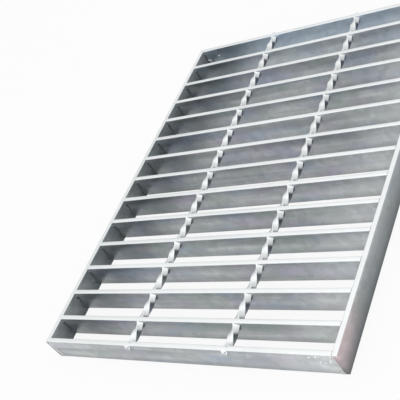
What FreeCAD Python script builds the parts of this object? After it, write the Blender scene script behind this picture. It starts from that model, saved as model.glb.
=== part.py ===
import FreeCAD, Part
import math
import os

# Driving dimensions, in millimetres
bar_count = 15
bar_thickness = 5.0
bar_depth = 25.0
bar_length = 305.0
bar_pitch = 30.0
front_pitch = 26.0       # the first bay is cut narrower than the others
band_thickness = 5.0
rod_side = 6.0           # square rod before twisting
rod_first = 102.0        # from the left band's inner face
rod_pitch = 106.0
rod_count = 2
rod_proud = 2.0          # sawn rod ends past the outer bars
twist_lead = 60.0        # one full turn, two bar pitches
crest_lead = 4.0         # a crest lies this far in front of each bar
steps_per_turn = 24


def bar_fronts():
    # Front face of each bar, measured from the front bar's own front face
    return [0.0] + [front_pitch + bar_pitch * i for i in range(bar_count - 1)]


panel_y = bar_fronts()[-1] + bar_thickness
front_y = -panel_y / 2
left_x = -bar_length / 2


def flat(points):
    return Part.Face(Part.makePolygon(points + points[:1]))


def bearing_bar(front):
    corner = FreeCAD.Vector(left_x, front_y + front, 0)
    return Part.makeBox(bar_length, bar_thickness, bar_depth, corner)


def twisted_rod(x):
    # A square turned step by step along Y, its crests level with the bar tops
    radius = rod_side / math.sqrt(2)
    z = bar_depth - radius
    start = front_y - rod_proud
    crest = front_y + front_pitch - crest_lead
    length = panel_y + 2 * rod_proud
    steps = max(1, round(length / twist_lead * steps_per_turn))
    rings = []
    for i in range(steps + 1):
        y = start + length * i / steps
        turn = 2 * math.pi * (y - crest) / twist_lead
        corners = [turn + k * math.pi / 2 for k in range(4)]
        rings.append([FreeCAD.Vector(x + radius * math.cos(a), y,
                                     z + radius * math.sin(a))
                      for a in corners])
    faces = [flat(rings[0]), flat(rings[-1])]
    for near, far in zip(rings, rings[1:]):
        for k in range(4):
            n = (k + 1) % 4
            faces.append(flat([near[k], near[n], far[n]]))
            faces.append(flat([near[k], far[n], far[k]]))
    rod = Part.makeSolid(Part.makeShell(faces))
    if rod.Volume < 0:
        rod.reverse()
    return rod


def end_band(x):
    corner = FreeCAD.Vector(x, front_y, 0)
    return Part.makeBox(band_thickness, panel_y, bar_depth, corner)


# The bars and the rods forged into them are one welded piece
bars = [bearing_bar(front) for front in bar_fronts()]
rods = [twisted_rod(left_x + rod_first + rod_pitch * i)
        for i in range(rod_count)]
bar_panel = bars[0].multiFuse(bars[1:] + rods)

pieces = {
    "bar_panel": bar_panel,
    "left_end_band": end_band(left_x - band_thickness),
    "right_end_band": end_band(left_x + bar_length),
}

os.makedirs("parts", exist_ok=True)
for name, shape in pieces.items():
    shape.exportStep("parts/" + name + ".step")
    print(name, len(shape.Solids), "solid", round(shape.Volume / 1000, 1),
          "cm3", "valid" if shape.isValid() else "not valid")
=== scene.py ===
import math
import random
import bmesh
import bpy
from mathutils import Matrix, Vector


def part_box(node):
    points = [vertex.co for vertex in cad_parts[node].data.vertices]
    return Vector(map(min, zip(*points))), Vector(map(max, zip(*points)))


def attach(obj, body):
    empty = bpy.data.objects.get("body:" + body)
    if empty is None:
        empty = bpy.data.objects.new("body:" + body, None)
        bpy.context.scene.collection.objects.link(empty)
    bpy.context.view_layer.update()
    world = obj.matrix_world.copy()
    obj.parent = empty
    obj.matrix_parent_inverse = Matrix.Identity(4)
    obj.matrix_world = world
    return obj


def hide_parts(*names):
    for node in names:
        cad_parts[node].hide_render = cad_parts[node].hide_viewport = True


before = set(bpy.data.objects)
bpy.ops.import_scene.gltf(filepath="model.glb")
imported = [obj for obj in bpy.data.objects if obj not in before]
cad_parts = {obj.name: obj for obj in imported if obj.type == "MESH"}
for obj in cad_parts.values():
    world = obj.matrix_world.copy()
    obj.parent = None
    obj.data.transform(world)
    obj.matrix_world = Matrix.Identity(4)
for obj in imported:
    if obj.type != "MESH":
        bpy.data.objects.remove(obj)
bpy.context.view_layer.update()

mm = 0.001
panelLow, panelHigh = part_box("bar_panel")
panelSize = panelHigh - panelLow


# sRGB hex to the linear colour that shaders take
def linearFromHex(code):
    parts = [int(code[i:i + 2], 16) / 255 for i in (1, 3, 5)]
    return [c / 12.92 if c <= 0.04045 else ((c + 0.055) / 1.055) ** 2.4 for c in parts] + [1.0]


# adds one node, sets it and links it; an input is given by name or number
def addNode(tree, kind, settings={}, inputs={}):
    node = tree.nodes.new(kind)
    for name, value in settings.items():
        setattr(node, name, value)
    for key, value in inputs.items():
        if isinstance(value, bpy.types.NodeSocket):
            tree.links.new(value, node.inputs[key])
        else:
            node.inputs[key].default_value = value
    return node


# a node tree that takes points and named inputs
def newTree(name, inputs):
    tree = bpy.data.node_groups.new(name, "GeometryNodeTree")
    tree.interface.new_socket(name="Geometry", in_out="OUTPUT", socket_type="NodeSocketGeometry")
    tree.interface.new_socket(name="Points", in_out="INPUT", socket_type="NodeSocketGeometry")
    for label, value in inputs.items():
        kind = {int: "NodeSocketInt", float: "NodeSocketFloat"}.get(type(value), "NodeSocketMaterial")
        tree.interface.new_socket(name=label, in_out="INPUT", socket_type=kind)
    return tree, tree.nodes.new("NodeGroupInput").outputs


# ends a tree: made real and given its finish
def endTree(tree, size, shape):
    real = addNode(tree, "GeometryNodeRealizeInstances", {}, {"Geometry": shape})
    finish = {"Geometry": real.outputs[0], "Material": size["Finish"]}
    done = addNode(tree, "GeometryNodeSetMaterial", {}, finish)
    addNode(tree, "NodeGroupOutput", {}, {"Geometry": done.outputs[0]})
    return tree


# runs a tree once on its points and keeps the result as a plain mesh
def meshFromTree(name, tree, inputs, points):
    base = bpy.data.meshes.new(name + "Points")
    base.from_pydata(points, [], [])
    maker = bpy.data.objects.new(name + "Maker", base)
    bpy.context.scene.collection.objects.link(maker)
    step = maker.modifiers.new("nodes", "NODES")
    step.node_group = tree
    for item in tree.interface.items_tree:
        if item.name in inputs:
            step[item.identifier] = inputs[item.name]
    ready = maker.evaluated_get(bpy.context.evaluated_depsgraph_get())
    mesh = bpy.data.meshes.new_from_object(ready)
    mesh.name = name
    bpy.data.objects.remove(maker)
    return mesh


# puts a mesh in the scene in place of a CAD node
def dressNode(name, mesh, node):
    piece = bpy.data.objects.new(name, mesh)
    bpy.context.scene.collection.objects.link(piece)
    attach(piece, "root")
    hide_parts(node)
    print(name, len(mesh.polygons), "faces")


# Finishes

# Hot-dip galvanised mild steel, left dull: a grey zinc skin with soft blue, green
# and violet clouds drawn out along the bar, and tops painted bright, partly rubbed by feet and partly a
# painted highlight
zincSkin = {
    "dull": "#92979B", "pale": "#CDD1D1", "blue": "#99A7BC", "green": "#9EADA6", "violet": "#B0A9BB",
    "cloudLongMm": 75.0, "cloudWideMm": 26.0, "runLongMm": 150.0, "runWideMm": 9.0,
    # painted highlight: upward faces take the pale top tone, partly wear and partly the light from above
    "top": "#E1E4E4", "wornAndLitFrom": 0.72, "wornAndLitTo": 0.92, "wornAndLitLeast": 0.8,
    "low": "#6F7374", "lowShare": 0.4, "lowMm": 9.0,
    "toneSpots": [], "spangleMm": 7.0, "flakeLow": 0.9, "flakeHigh": 1.07, "flakeRough": 0.1,
    "grainMm": 1.2, "grainStrength": 0.3, "metal": 0.6, "roughLow": 0.28, "roughHigh": 0.42,
    "noiseDetail": 2.0, "runFrom": 0.28, "runTo": 0.72, "tintFrom": 0.5, "tintTo": 0.72, "tintMost": 0.7,
    "crystalRelief": 0.35, "reliefMm": 0.15,
}
# a patch's limit that lies in front of the whole grate
everywhere = -1000.0


def makeZinc(name, run, skin):
    material = bpy.data.materials.new(name)
    material.use_nodes = True
    tree = material.node_tree
    tree.nodes.clear()
    place = addNode(tree, "ShaderNodeTexCoord").outputs["Object"]
    # runs lighten and darken the zinc, and clouds tint it, both drawn out along the run
    drawn = {}
    for kind in ("cloud", "run"):
        scale = [1 / (skin[kind + ("LongMm" if axis == run else "WideMm")] * mm) for axis in "xyz"]
        along = addNode(tree, "ShaderNodeMapping", {}, {"Vector": place, "Scale": scale})
        noise = {"Vector": along.outputs[0], "Scale": 1.0, "Detail": skin["noiseDetail"]}
        drawn[kind] = addNode(tree, "ShaderNodeTexNoise", {}, noise)
    steps = {"Value": drawn["run"].outputs["Fac"], "From Min": skin["runFrom"], "From Max": skin["runTo"]}
    runs = addNode(tree, "ShaderNodeMapRange", {}, steps)
    tones = {"Factor": runs.outputs[0], 6: linearFromHex(skin["dull"]), 7: linearFromHex(skin["pale"])}
    colour = addNode(tree, "ShaderNodeMix", {"data_type": "RGBA"}, tones)
    tint = addNode(tree, "ShaderNodeSeparateColor", {}, {"Color": drawn["cloud"].outputs["Color"]})
    for channel, tinge in (("Red", "violet"), ("Green", "green"), ("Blue", "blue")):
        steps = {"Value": tint.outputs[channel], "To Max": skin["tintMost"]}
        steps.update({"From Min": skin["tintFrom"], "From Max": skin["tintTo"]})
        share = addNode(tree, "ShaderNodeMapRange", {}, steps)
        tones = {"Factor": share.outputs[0], 6: colour.outputs[2], 7: linearFromHex(skin[tinge])}
        colour = addNode(tree, "ShaderNodeMix", {"data_type": "RGBA"}, tones)
    # soft patches of stain, painted shade, painted light and painted reflection, each by distance from a
    # spot along the axes that count
    skinTone = colour.outputs[2]
    axes = addNode(tree, "ShaderNodeSeparateXYZ", {}, {"Vector": place}).outputs
    for toneSpot in skin["toneSpots"]:
        flat = {0: place, 1: toneSpot["axes"]}
        counted = addNode(tree, "ShaderNodeVectorMath", {"operation": "MULTIPLY"}, flat)
        spot = {0: counted.outputs[0], 1: [value * mm for value in toneSpot["atMm"]]}
        away = addNode(tree, "ShaderNodeVectorMath", {"operation": "DISTANCE"}, spot)
        steps = {"Value": away.outputs["Value"], "To Min": toneSpot["near"], "To Max": toneSpot["far"]}
        steps.update({"From Min": toneSpot["fromMm"] * mm, "From Max": toneSpot["toMm"] * mm})
        share = addNode(tree, "ShaderNodeMapRange", {"interpolation_type": "SMOOTHSTEP"}, steps)
        limit = {0: axes["Y"], 1: toneSpot["behindMm"] * mm}
        behind = addNode(tree, "ShaderNodeMath", {"operation": "GREATER_THAN"}, limit)
        parts = {0: share.outputs[0], 1: behind.outputs[0]}
        spotShare = addNode(tree, "ShaderNodeMath", {"operation": "MULTIPLY"}, parts)
        tones = {"Factor": spotShare.outputs[0], 6: skinTone, 7: linearFromHex(toneSpot["tone"])}
        skinTone = addNode(tree, "ShaderNodeMix", {"data_type": "RGBA"}, tones).outputs[2]
    # spangle: each zinc crystal is a touch lighter or darker than its neighbour
    flake = {"Vector": place, "Scale": 1 / (skin["spangleMm"] * mm)}
    spangle = addNode(tree, "ShaderNodeTexVoronoi", {}, flake)
    flakeTone = addNode(tree, "ShaderNodeSeparateColor", {}, {"Color": spangle.outputs["Color"]})
    steps = {"Value": flakeTone.outputs["Red"], "To Min": skin["flakeLow"], "To Max": skin["flakeHigh"]}
    tone = addNode(tree, "ShaderNodeMapRange", {}, steps)
    scaled = {0: skinTone, "Scale": tone.outputs[0]}
    flaked = addNode(tree, "ShaderNodeVectorMath", {"operation": "SCALE"}, scaled)
    # the lower edge is darker: partly dirt, partly painted shade toward the floor
    steps = {"Value": axes["Z"], "From Max": skin["lowMm"] * mm}
    steps.update({"To Min": skin["lowShare"], "To Max": 0.0})
    dirtAndShade = addNode(tree, "ShaderNodeMapRange", {}, steps)
    tones = {"Factor": dirtAndShade.outputs[0], 6: flaked.outputs[0], 7: linearFromHex(skin["low"])}
    colour = addNode(tree, "ShaderNodeMix", {"data_type": "RGBA"}, tones)
    # what faces up is painted bright, partly rubbed by feet and partly a painted highlight of the light
    # from above, less so along the darker runs
    steps = {"Value": runs.outputs[0], "To Min": skin["wornAndLitLeast"], "To Max": 1.0}
    most = addNode(tree, "ShaderNodeMapRange", {}, steps)
    normal = addNode(tree, "ShaderNodeNewGeometry").outputs["Normal"]
    facing = addNode(tree, "ShaderNodeSeparateXYZ", {}, {"Vector": normal})
    steps = {"Value": facing.outputs["Z"], "From Min": skin["wornAndLitFrom"], "From Max": skin["wornAndLitTo"]}
    steps["To Max"] = most.outputs[0]
    wornAndLit = addNode(tree, "ShaderNodeMapRange", {"interpolation_type": "SMOOTHSTEP"}, steps)
    tones = {"Factor": wornAndLit.outputs[0], 6: colour.outputs[2], 7: linearFromHex(skin["top"])}
    colour = addNode(tree, "ShaderNodeMix", {"data_type": "RGBA"}, tones)
    # the skin is duller where it is paler, each crystal by itself too, with crystal and grain relief
    steps = {"Value": runs.outputs[0], "To Min": skin["roughLow"], "To Max": skin["roughHigh"]}
    dullness = addNode(tree, "ShaderNodeMapRange", {}, steps)
    sums = {0: flakeTone.outputs["Green"], 1: skin["flakeRough"], 2: dullness.outputs[0]}
    rough = addNode(tree, "ShaderNodeMath", {"operation": "MULTIPLY_ADD"}, sums)
    fine = {"Vector": place, "Scale": 1 / (skin["grainMm"] * mm), "Detail": skin["noiseDetail"]}
    grain = addNode(tree, "ShaderNodeTexNoise", {}, fine)
    sums = {0: spangle.outputs["Distance"], 1: skin["crystalRelief"], 2: grain.outputs["Fac"]}
    relief = addNode(tree, "ShaderNodeMath", {"operation": "MULTIPLY_ADD"}, sums)
    raised = {"Strength": skin["grainStrength"], "Distance": skin["reliefMm"] * mm}
    raised["Height"] = relief.outputs[0]
    bump = addNode(tree, "ShaderNodeBump", {}, raised)
    look = {"Base Color": colour.outputs[2], "Metallic": skin["metal"], "Roughness": rough.outputs[0]}
    look["Normal"] = bump.outputs[0]
    shader = addNode(tree, "ShaderNodeBsdfPrincipled", {}, look)
    addNode(tree, "ShaderNodeOutputMaterial", {}, {"Surface": shader.outputs[0]})
    return material


# bars, with painted shade near the left band, kept off the open front face, painted light at the right
# ends and a painted reflection of blue sky on the rearmost ones
# painted shade: the bars' left ends darkened where the left band shades them, kept off the front face
paintedBandShade = {
    "tone": "#35464D", "atMm": (-118.0, 0.0, 0.0), "axes": (1, 0, 0), "behindMm": -208.0,
    "fromMm": 0.0, "toMm": 58.0, "near": 0.64, "far": 0.0,
}
# painted light: the bars' right ends lightened as if lit by light reflected off the right band
paintedRightGlow = {
    "tone": "#E2E5E6", "atMm": (152.0, 0.0, 0.0), "axes": (1, 0, 0), "behindMm": everywhere,
    "fromMm": 0.0, "toMm": 75.0, "near": 0.6, "far": 0.0,
}
# painted reflection: the rearmost bars tinted blue as if reflecting a blue sky
paintedSkyReflection = {
    "tone": "#B4C4D2", "atMm": (0.0, 214.0, 0.0), "axes": (0, 1, 0), "behindMm": everywhere,
    "fromMm": 0.0, "toMm": 62.0, "near": 0.75, "far": 0.0,
}
barSkin = dict(zincSkin, toneSpots=[paintedSkyReflection, paintedBandShade, paintedRightGlow], cloudLongMm=52.0, cloudWideMm=22.0)
barZinc = makeZinc("galvanisedBarZinc", "x", barSkin)
# rods are painted dark all over as painted shade of their flanks, apart from their ends, painted lighter
# as open to the light
litRodEnds = {
    "tone": "#B4B8B9", "atMm": (0.0, 0.0, 0.0), "axes": (0, 1, 0), "behindMm": everywhere,
    "fromMm": 206.0, "toMm": 210.0, "near": 0.0, "far": 0.9,
}
# painted shade: a dark rod skin for the shaded flanks, with a painted highlight on the upward facets
rodSkin = {
    "dull": "#5C6366", "pale": "#7C8285", "blue": "#667080", "green": "#697571", "violet": "#76707C",
    "cloudLongMm": 30.0, "runLongMm": 25.0, "runWideMm": 3.0,
    "top": "#E6E9E9", "wornAndLitFrom": 0.25, "wornAndLitTo": 0.55, "wornAndLitLeast": 0.82, "toneSpots": [litRodEnds],
}
rodZinc = makeZinc("galvanisedRodZinc", "y", dict(zincSkin, **rodSkin))
# bands are painted darker toward the lower edge as painted shade, with a pink bloom at the front right
# corner
pinkBloom = {
    "tone": "#DAC6C9", "atMm": (157.5, -210.0, 16.0), "axes": (1, 1, 1), "behindMm": everywhere,
    "fromMm": 0.0, "toMm": 70.0, "near": 0.9, "far": 0.0,
}
# painted shade: the band darkens over its whole depth toward the floor
bandSkin = {
    "dull": "#979DA0", "pale": "#BABFC1", "blue": "#929EA8", "green": "#9AA39F", "violet": "#A5A2A7",
    "low": "#50575A", "lowShare": 1.0, "lowMm": 25.0, "toneSpots": [pinkBloom],
}
bandZinc = makeZinc("galvanisedBandZinc", "y", dict(zincSkin, **bandSkin))
# weld metal takes a thicker, lumpier and paler zinc
weldSkin = {
    "dull": "#B9BDBD", "pale": "#EBEDED", "wornAndLitFrom": 0.15, "wornAndLitTo": 0.6,
    "blue": "#C2C8CE", "green": "#C6CAC8", "violet": "#CBC7CD",
    "spangleMm": 3.0, "cloudLongMm": 12.0, "cloudWideMm": 8.0, "runLongMm": 6.0, "runWideMm": 2.0,
}
weldZinc = makeZinc("galvanisedWeldZinc", "z", dict(zincSkin, **weldSkin))
# beads inside the cells, painted dark as painted shade in the corner crease, so that the corner reads as a
# dark seam
creaseShadeSkin = {
    "dull": "#43494B", "pale": "#5F6668", "blue": "#515A64", "green": "#545E5A", "violet": "#5E5963",
    "spangleMm": 3.0, "cloudLongMm": 12.0, "cloudWideMm": 8.0, "runLongMm": 6.0, "runWideMm": 2.0,
}
creaseShadeZinc = makeZinc("galvanisedCreaseShadeWeldZinc", "z", dict(zincSkin, **creaseShadeSkin))
print("finishes made")

# Bearing bars: flat bar on edge with rolled edges, the front one a little closer
bars = {
    "count": 15, "pitch": 30 * mm, "frontPitch": 26 * mm, "rodProud": 2 * mm,
    "shape": {
        "Bar Length": panelSize.x, "Bar Thickness": 5 * mm, "Bar Depth": panelSize.z,
        "Edge Radius": 0.6 * mm, "Edge Steps": 3, "Finish": barZinc,
    },
}
thickness = bars["shape"]["Bar Thickness"]
frontFace = panelLow.y + bars["rodProud"]
laterFaces = [frontFace + bars["frontPitch"] + n * bars["pitch"] for n in range(bars["count"] - 1)]
barFaces = [frontFace] + laterFaces
backFace = barFaces[-1] + thickness


def barTree():
    tree, size = newTree("bearingBarTree", bars["shape"])
    half = addNode(tree, "ShaderNodeMath", {"operation": "MULTIPLY"}, {0: size["Bar Length"], 1: 0.5})
    back = addNode(tree, "ShaderNodeMath", {"operation": "MULTIPLY"}, {0: size["Bar Length"], 1: -0.5})
    start = addNode(tree, "ShaderNodeCombineXYZ", {}, {"X": back.outputs[0]})
    end = addNode(tree, "ShaderNodeCombineXYZ", {}, {"X": half.outputs[0]})
    ends = {"Start": start.outputs[0], "End": end.outputs[0]}
    path = addNode(tree, "GeometryNodeCurvePrimitiveLine", {}, ends)
    sides = {"Width": size["Bar Thickness"], "Height": size["Bar Depth"]}
    section = addNode(tree, "GeometryNodeCurvePrimitiveQuadrilateral", {}, sides)
    corner = {"Curve": section.outputs[0], "Radius": size["Edge Radius"], "Count": size["Edge Steps"]}
    rolled = addNode(tree, "GeometryNodeFilletCurve", {"mode": "POLY"}, corner)
    sweep = {"Curve": path.outputs[0], "Profile Curve": rolled.outputs[0], "Fill Caps": True}
    bar = addNode(tree, "GeometryNodeCurveToMesh", {}, sweep)
    row = {"Points": size["Points"], "Instance": bar.outputs[0]}
    laid = addNode(tree, "GeometryNodeInstanceOnPoints", {}, row)
    return endTree(tree, size, laid.outputs[0])


barPoints = [(0.0, face + thickness / 2, panelSize.z / 2) for face in barFaces]
barMesh = meshFromTree("bearingBars", barTree(), bars["shape"], barPoints)
dressNode("bearingBars", barMesh, "bar_panel")

# Cross rods: square rod twisted cold and pressed hot into the bars until flush, with a
# swollen collar at each crossing and pinched ends
rods = {
    "count": 2, "first": 102 * mm, "pitch": 106 * mm, "crestLead": 4 * mm,
    "shape": {
        "Rod Side": 6 * mm, "Corner Radius": 0.5 * mm, "Corner Steps": 3,
        "Rod Length": panelSize.y, "Step Count": 426,
        "Twist Lead": 60 * mm, "Bar Pitch": bars["pitch"],
        "First Crossing": frontFace + thickness / 2, "Next Crossing": laterFaces[0] + thickness / 2,
        "Collar Size": 1.16, "Collar Start": 2.7 * mm, "Collar End": 4.6 * mm,
        "Pinched Size": 0.6, "Pinch Length": 2.4 * mm, "Finish": rodZinc,
    },
}
rods["shape"]["Crest At"] = laterFaces[0] - rods["crestLead"]
rods["shape"]["Flush Level"] = rods["shape"]["Rod Side"] / math.sqrt(2)


def rodTree():
    tree, size = newTree("twistedRodTree", rods["shape"])
    half = addNode(tree, "ShaderNodeMath", {"operation": "MULTIPLY"}, {0: size["Rod Length"], 1: 0.5})
    back = addNode(tree, "ShaderNodeMath", {"operation": "MULTIPLY"}, {0: size["Rod Length"], 1: -0.5})
    start = addNode(tree, "ShaderNodeCombineXYZ", {}, {"Y": back.outputs[0]})
    end = addNode(tree, "ShaderNodeCombineXYZ", {}, {"Y": half.outputs[0]})
    ends = {"Start": start.outputs[0], "End": end.outputs[0]}
    path = addNode(tree, "GeometryNodeCurvePrimitiveLine", {}, ends)
    pieces = {"Curve": path.outputs[0], "Count": size["Step Count"]}
    steps = addNode(tree, "GeometryNodeResampleCurve", {}, pieces)
    place = addNode(tree, "GeometryNodeInputPosition").outputs[0]
    axes = addNode(tree, "ShaderNodeSeparateXYZ", {}, {"Vector": place}).outputs
    # one full turn in each twist lead, with a corner on top at the crest
    past = addNode(tree, "ShaderNodeMath", {"operation": "SUBTRACT"}, {0: axes["Y"], 1: size["Crest At"]})
    leads = {0: past.outputs[0], 1: size["Twist Lead"]}
    turns = addNode(tree, "ShaderNodeMath", {"operation": "DIVIDE"}, leads)
    angles = {0: turns.outputs[0], 1: -2 * math.pi, 2: math.pi / 4}
    angle = addNode(tree, "ShaderNodeMath", {"operation": "MULTIPLY_ADD"}, angles)
    tilt = {"Curve": steps.outputs[0], "Tilt": angle.outputs[0]}
    twist = addNode(tree, "GeometryNodeSetCurveTilt", {}, tilt)
    sides = {"Width": size["Rod Side"], "Height": size["Rod Side"]}
    section = addNode(tree, "GeometryNodeCurvePrimitiveQuadrilateral", {}, sides)
    corner = {"Curve": section.outputs[0], "Radius": size["Corner Radius"], "Count": size["Corner Steps"]}
    soft = addNode(tree, "GeometryNodeFilletCurve", {"mode": "POLY"}, corner)
    # a collar close to each bar: the front crossing stands out of step with the rest
    low = addNode(tree, "ShaderNodeMath", {"operation": "MULTIPLY"}, {0: size["Bar Pitch"], 1: -0.5})
    high = addNode(tree, "ShaderNodeMath", {"operation": "MULTIPLY"}, {0: size["Bar Pitch"], 1: 0.5})
    gap = {0: axes["Y"], 1: size["Next Crossing"]}
    later = addNode(tree, "ShaderNodeMath", {"operation": "SUBTRACT"}, gap)
    turnOver = {0: later.outputs[0], 1: high.outputs[0], 2: low.outputs[0]}
    wrapped = addNode(tree, "ShaderNodeMath", {"operation": "WRAP"}, turnOver)
    toLater = addNode(tree, "ShaderNodeMath", {"operation": "ABSOLUTE"}, {0: wrapped.outputs[0]})
    gap = {0: axes["Y"], 1: size["First Crossing"]}
    first = addNode(tree, "ShaderNodeMath", {"operation": "SUBTRACT"}, gap)
    toFirst = addNode(tree, "ShaderNodeMath", {"operation": "ABSOLUTE"}, {0: first.outputs[0]})
    either = {0: toLater.outputs[0], 1: toFirst.outputs[0]}
    away = addNode(tree, "ShaderNodeMath", {"operation": "MINIMUM"}, either)
    swell = {"Value": away.outputs[0], "From Min": size["Collar Start"], "From Max": size["Collar End"]}
    swell.update({"To Min": size["Collar Size"], "To Max": 1.0})
    collar = addNode(tree, "ShaderNodeMapRange", {"interpolation_type": "SMOOTHSTEP"}, swell)
    # each end is pinched where it was cropped
    out = addNode(tree, "ShaderNodeMath", {"operation": "ABSOLUTE"}, {0: axes["Y"]})
    left = {0: half.outputs[0], 1: out.outputs[0]}
    toEnd = addNode(tree, "ShaderNodeMath", {"operation": "SUBTRACT"}, left)
    shrink = {"Value": toEnd.outputs[0], "From Max": size["Pinch Length"], "To Min": size["Pinched Size"]}
    pinch = addNode(tree, "ShaderNodeMapRange", {}, shrink)
    both = {0: collar.outputs[0], 1: pinch.outputs[0]}
    thick = addNode(tree, "ShaderNodeMath", {"operation": "MULTIPLY"}, both)
    sweep = {"Curve": twist.outputs[0], "Profile Curve": soft.outputs[0], "Fill Caps": True}
    sweep["Scale"] = thick.outputs[0]
    rod = addNode(tree, "GeometryNodeCurveToMesh", {}, sweep)
    # pressed flush with the bar tops
    top = addNode(tree, "ShaderNodeMath", {"operation": "MINIMUM"}, {0: axes["Z"], 1: size["Flush Level"]})
    lowered = {"X": axes["X"], "Y": axes["Y"], "Z": top.outputs[0]}
    pressed = addNode(tree, "ShaderNodeCombineXYZ", {}, lowered)
    moved = {"Geometry": rod.outputs[0], "Position": pressed.outputs[0]}
    flush = addNode(tree, "GeometryNodeSetPosition", {}, moved)
    row = {"Points": size["Points"], "Instance": flush.outputs[0]}
    laid = addNode(tree, "GeometryNodeInstanceOnPoints", {}, row)
    return endTree(tree, size, laid.outputs[0])


rodLevel = panelHigh.z - rods["shape"]["Flush Level"]
rodPlaces = [panelLow.x + rods["first"] + n * rods["pitch"] for n in range(rods["count"])]
rodPoints = [(x, 0.0, rodLevel) for x in rodPlaces]
rodMesh = meshFromTree("twistedRods", rodTree(), rods["shape"], rodPoints)
dressNode("twistedRods", rodMesh, "bar_panel")

# Forging lips: where each rod was pressed into an outer bar, a small wedge of metal
# stands out, flush with the bar top and narrowing to a point
lips = {"width": 8 * mm, "reach": 2.6 * mm, "depth": 4.5 * mm, "inset": 1.0 * mm, "below": 0.02 * mm}


def makeLips():
    points, faces = [], []
    sides = ((0, 1, 2), (0, 2, 3), (1, 3, 2), (0, 3, 1))
    top = panelHigh.z - lips["below"]
    for face, way in ((frontFace, -1), (backFace, 1)):
        for x in rodPlaces:
            first = len(points)
            for side in (-1, 1):
                points.append((x + side * lips["width"] / 2, face - way * lips["inset"], top))
            points.append((x, face + way * lips["reach"], top))
            points.append((x, face - way * lips["inset"], top - lips["depth"]))
            faces += [[first + n for n in corners] for corners in sides]
    mesh = bpy.data.meshes.new("forgingLips")
    mesh.from_pydata(points, [], faces)
    shape = bmesh.new()
    shape.from_mesh(mesh)
    bmesh.ops.recalc_face_normals(shape, faces=shape.faces)
    shape.to_mesh(mesh)
    shape.free()
    mesh.materials.append(rodZinc)
    dressNode("forgingLips", mesh, "bar_panel")


makeLips()

# End bands: the same flat bar, welded across the bar ends
bands = {"edgeRadius": 0.6 * mm, "edgeSteps": 3, "edgeProfile": 0.5}


def makeBand(name, node):
    low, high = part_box(node)
    shape = bmesh.new()
    bmesh.ops.create_cube(shape, size=1.0)
    bmesh.ops.scale(shape, vec=high - low, verts=shape.verts)
    bmesh.ops.translate(shape, vec=(high + low) / 2, verts=shape.verts)
    edge = {"offset": bands["edgeRadius"], "segments": bands["edgeSteps"]}
    edge.update({"profile": bands["edgeProfile"], "affect": "EDGES"})
    bmesh.ops.bevel(shape, geom=shape.edges[:], **edge)
    bmesh.ops.recalc_face_normals(shape, faces=shape.faces)
    mesh = bpy.data.meshes.new(name)
    shape.to_mesh(mesh)
    shape.free()
    mesh.materials.append(bandZinc)
    dressNode(name, mesh, node)


makeBand("leftEndBand", "left_end_band")
makeBand("rightEndBand", "right_end_band")

# Weld beads: a thin one down the inner corner at each bar end, and a wider flat one up
# the seam at each outer corner of the grate
beads = {
    "inner": {
        "Bead Width": 2.6 * mm, "Bead Rise": 1.3 * mm, "Bead Bottom": 2.0 * mm, "Bead Top": 21.5 * mm,
        "Bead Steps": 16, "Bead Sides": 10, "Lumpiness": 0.22, "Seed": 7, "Finish": creaseShadeZinc,
    },
    "outer": {
        "Bead Width": 3.4 * mm, "Bead Rise": 0.8 * mm, "Bead Bottom": 1.6 * mm, "Bead Top": 23.4 * mm,
        "Bead Steps": 22, "Bead Sides": 10, "Lumpiness": 0.3, "Seed": 3, "Finish": weldZinc,
    },
}


def beadTree():
    tree, size = newTree("weldBeadTree", beads["inner"])
    start = addNode(tree, "ShaderNodeCombineXYZ", {}, {"Z": size["Bead Bottom"]})
    end = addNode(tree, "ShaderNodeCombineXYZ", {}, {"Z": size["Bead Top"]})
    ends = {"Start": start.outputs[0], "End": end.outputs[0]}
    path = addNode(tree, "GeometryNodeCurvePrimitiveLine", {}, ends)
    pieces = {"Curve": path.outputs[0], "Count": size["Bead Steps"]}
    steps = addNode(tree, "GeometryNodeResampleCurve", {}, pieces)
    row = {"Points": size["Points"], "Instance": steps.outputs[0]}
    laid = addNode(tree, "GeometryNodeInstanceOnPoints", {}, row)
    paths = addNode(tree, "GeometryNodeRealizeInstances", {}, {"Geometry": laid.outputs[0]})
    # a round section squeezed to the bead's width and rise, with no two ripples alike
    circle = {"Resolution": size["Bead Sides"], "Radius": 1.0}
    ring = addNode(tree, "GeometryNodeCurvePrimitiveCircle", {}, circle)
    half = addNode(tree, "ShaderNodeMath", {"operation": "MULTIPLY"}, {0: size["Bead Width"], 1: 0.5})
    factors = {"X": half.outputs[0], "Y": size["Bead Rise"], "Z": 1.0}
    squeeze = addNode(tree, "ShaderNodeCombineXYZ", {}, factors)
    squeezed = {"Geometry": ring.outputs[0], "Scale": squeeze.outputs[0]}
    section = addNode(tree, "GeometryNodeTransform", {}, squeezed)
    least = addNode(tree, "ShaderNodeMath", {"operation": "SUBTRACT"}, {0: 1.0, 1: size["Lumpiness"]})
    most = addNode(tree, "ShaderNodeMath", {"operation": "ADD"}, {0: 1.0, 1: size["Lumpiness"]})
    limits = {2: least.outputs[0], 3: most.outputs[0], "Seed": size["Seed"]}
    ripple = addNode(tree, "FunctionNodeRandomValue", {"data_type": "FLOAT"}, limits)
    sweep = {"Curve": paths.outputs[0], "Profile Curve": section.outputs[0], "Fill Caps": True}
    sweep["Scale"] = ripple.outputs[1]
    bead = addNode(tree, "GeometryNodeCurveToMesh", {}, sweep)
    smooth = addNode(tree, "GeometryNodeSetShadeSmooth", {}, {"Geometry": bead.outputs[0]})
    return endTree(tree, size, smooth.outputs[0])


sideFaces = (panelLow.x, panelHigh.x)
innerCorners = [(x, y, 0.0) for x in sideFaces for y in [frontFace + thickness] + laterFaces]
outerCorners = [(x, y, 0.0) for x in sideFaces for y in (frontFace, backFace)]
beadShape = beadTree()
innerMesh = meshFromTree("barEndWelds", beadShape, beads["inner"], innerCorners)
dressNode("barEndWelds", innerMesh, "bar_panel")
outerMesh = meshFromTree("cornerWelds", beadShape, beads["outer"], outerCorners)
dressNode("cornerWelds", outerMesh, "bar_panel")

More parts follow.
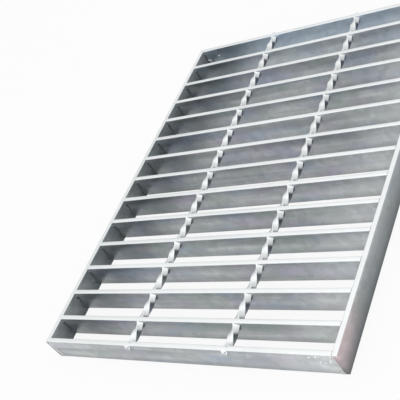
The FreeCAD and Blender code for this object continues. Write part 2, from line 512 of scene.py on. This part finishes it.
# Weld lumps in the two patches where the photograph shows pale dots, and fine spatter by the bands
lumps = {
    "large": {
        "Least Radius": 0.8 * mm, "Most Radius": 2.0 * mm, "Flatness": 0.75, "Ball Steps": 2,
        "Seed": 5, "Finish": weldZinc,
    },
    "small": {
        "Least Radius": 0.3 * mm, "Most Radius": 0.6 * mm, "Flatness": 0.8, "Ball Steps": 2,
        "Seed": 9, "Finish": weldZinc,
    },
    "front": {"side": 1, "face": frontFace, "count": 9, "low": 13 * mm, "high": 24 * mm},
    "rear": {"side": -1, "face": barFaces[-1], "count": 4, "low": 8 * mm, "high": 17 * mm},
    "patchWidth": 26 * mm, "spatterCount": 34, "spatterLow": 3 * mm, "spatterHigh": 23 * mm, "dice": 4,
}


def lumpTree():
    tree, size = newTree("weldLumpTree", lumps["large"])
    ico = {"Radius": 1.0, "Subdivisions": size["Ball Steps"]}
    ball = addNode(tree, "GeometryNodeMeshIcoSphere", {}, ico)
    smooth = addNode(tree, "GeometryNodeSetShadeSmooth", {}, {"Geometry": ball.outputs[0]})
    limits = {2: size["Least Radius"], 3: size["Most Radius"], "Seed": size["Seed"]}
    width = addNode(tree, "FunctionNodeRandomValue", {"data_type": "FLOAT"}, limits)
    nextSeed = addNode(tree, "ShaderNodeMath", {"operation": "ADD"}, {0: size["Seed"], 1: 1.0})
    limits["Seed"] = nextSeed.outputs[0]
    height = addNode(tree, "FunctionNodeRandomValue", {"data_type": "FLOAT"}, limits)
    flat = {0: height.outputs[1], 1: size["Flatness"]}
    rise = addNode(tree, "ShaderNodeMath", {"operation": "MULTIPLY"}, flat)
    radii = {"X": width.outputs[1], "Y": rise.outputs[0], "Z": height.outputs[1]}
    shape = addNode(tree, "ShaderNodeCombineXYZ", {}, radii)
    row = {"Points": size["Points"], "Instance": smooth.outputs[0], "Scale": shape.outputs[0]}
    laid = addNode(tree, "GeometryNodeInstanceOnPoints", {}, row)
    return endTree(tree, size, laid.outputs[0])


dice = random.Random(lumps["dice"])
lumpShape = lumpTree()
patches = []
for patch in (lumps["rear"], lumps["front"]):
    for n in range(patch["count"]):
        inward = dice.uniform(0, lumps["patchWidth"]) * dice.random()
        height = dice.uniform(patch["low"], patch["high"])
        patches.append((patch["side"] * (panelHigh.x - inward), patch["face"], height))
lumpMesh = meshFromTree("weldLumps", lumpShape, lumps["large"], patches)
dressNode("weldLumps", lumpMesh, "bar_panel")
spatter = []
for x in sideFaces:
    for n in range(lumps["spatterCount"]):
        y = dice.uniform(frontFace, backFace)
        spatter.append((x, y, dice.uniform(lumps["spatterLow"], lumps["spatterHigh"])))
spatterMesh = meshFromTree("weldSpatter", lumpShape, lumps["small"], spatter)
dressNode("weldSpatter", spatterMesh, "bar_panel")

# Floor: white to the eye and in reflections, with the grate's shadow kept
floorLook = {"colour": "#F2F2F2", "white": 0.9, "reach": 6.0}


# 1 for rays that reach the eye straight, by a reflection or through glass
def seenByEye(tree):
    ray = addNode(tree, "ShaderNodeLightPath").outputs
    pair = {0: ray["Is Camera Ray"], 1: ray["Is Glossy Ray"]}
    straight = addNode(tree, "ShaderNodeMath", {"operation": "MAXIMUM"}, pair)
    pair = {0: straight.outputs[0], 1: ray["Is Transmission Ray"]}
    return addNode(tree, "ShaderNodeMath", {"operation": "MAXIMUM"}, pair).outputs[0]


def makeFloor():
    shape = bmesh.new()
    bmesh.ops.create_grid(shape, x_segments=1, y_segments=1, size=floorLook["reach"])
    mesh = bpy.data.meshes.new("floor")
    shape.to_mesh(mesh)
    shape.free()
    material = bpy.data.materials.new("paleFloor")
    material.use_nodes = True
    tree = material.node_tree
    tree.nodes.clear()
    parts = {0: seenByEye(tree), 1: floorLook["white"]}
    share = addNode(tree, "ShaderNodeMath", {"operation": "MULTIPLY"}, parts)
    matte = addNode(tree, "ShaderNodeBsdfDiffuse", {}, {"Color": linearFromHex(floorLook["colour"])})
    white = addNode(tree, "ShaderNodeEmission", {}, {"Color": (1, 1, 1, 1), "Strength": 1.0})
    layers = {0: share.outputs[0], 1: matte.outputs[0], 2: white.outputs[0]}
    both = addNode(tree, "ShaderNodeMixShader", {}, layers)
    addNode(tree, "ShaderNodeOutputMaterial", {}, {"Surface": both.outputs[0]})
    mesh.materials.append(material)
    floor = bpy.data.objects.new("floor", mesh)
    bpy.context.scene.collection.objects.link(floor)


makeFloor()

# Studio light: a broad softbox above, a weak fill from the front right, a pale room
lamps = {
    "overhead": {"at": (-0.35, 0.25, 1.7), "size": 2.4, "watts": 12.0, "spreadDegrees": 180},
    "frontFill": {"at": (1.7, -2.6, 1.8), "size": 2.0, "watts": 11.0, "spreadDegrees": 90},
}
room = {"light": 0.52}


def makeLamp(name, facts):
    light = bpy.data.lights.new(name, "AREA")
    light.shape = "SQUARE"
    light.size = facts["size"]
    light.energy = facts["watts"]
    light.spread = math.radians(facts["spreadDegrees"])
    lamp = bpy.data.objects.new(name, light)
    bpy.context.scene.collection.objects.link(lamp)
    lamp.location = facts["at"]
    lamp.rotation_mode = "QUATERNION"
    lamp.rotation_quaternion = (-Vector(facts["at"])).to_track_quat("-Z", "Y")


def makeRoom():
    world = bpy.data.worlds.new("paleRoom")
    bpy.context.scene.world = world
    world.use_nodes = True
    tree = world.node_tree
    tree.nodes.clear()
    steps = {"Value": seenByEye(tree), "To Min": room["light"], "To Max": 1.0}
    strength = addNode(tree, "ShaderNodeMapRange", {}, steps)
    glow = {"Color": (1, 1, 1, 1), "Strength": strength.outputs[0]}
    pale = addNode(tree, "ShaderNodeBackground", {}, glow)
    addNode(tree, "ShaderNodeOutputWorld", {}, {"Surface": pale.outputs[0]})


for name, facts in lamps.items():
    makeLamp(name, facts)
makeRoom()
print("floor and light made")

# Camera fitted to the photograph as if it were uncropped, turned about its own axis as the photograph is
eyePoint = {
    "at": (0.45272, -0.47824, 0.48455), "lens": 73.641,
    "right": (0.78314, 0.35507, -0.51051), "up": (0.07334, 0.76248, 0.64284),
    "sensor": 36.0, "clipStart": 0.01, "clipEnd": 50.0,
}
lens = bpy.data.cameras.new("photoCamera")
lens.lens = eyePoint["lens"]
lens.sensor_width = eyePoint["sensor"]
lens.clip_start = eyePoint["clipStart"]
lens.clip_end = eyePoint["clipEnd"]
camera = bpy.data.objects.new("photoCamera", lens)
bpy.context.scene.collection.objects.link(camera)
right = Vector(eyePoint["right"]).normalized()
up = Vector(eyePoint["up"]).normalized()
turn = Matrix((right, up, right.cross(up))).transposed()
camera.matrix_world = Matrix.Translation(Vector(eyePoint["at"])) @ turn.to_4x4()
bpy.context.scene.camera = camera
bpy.context.scene.view_settings.view_transform = "Standard"
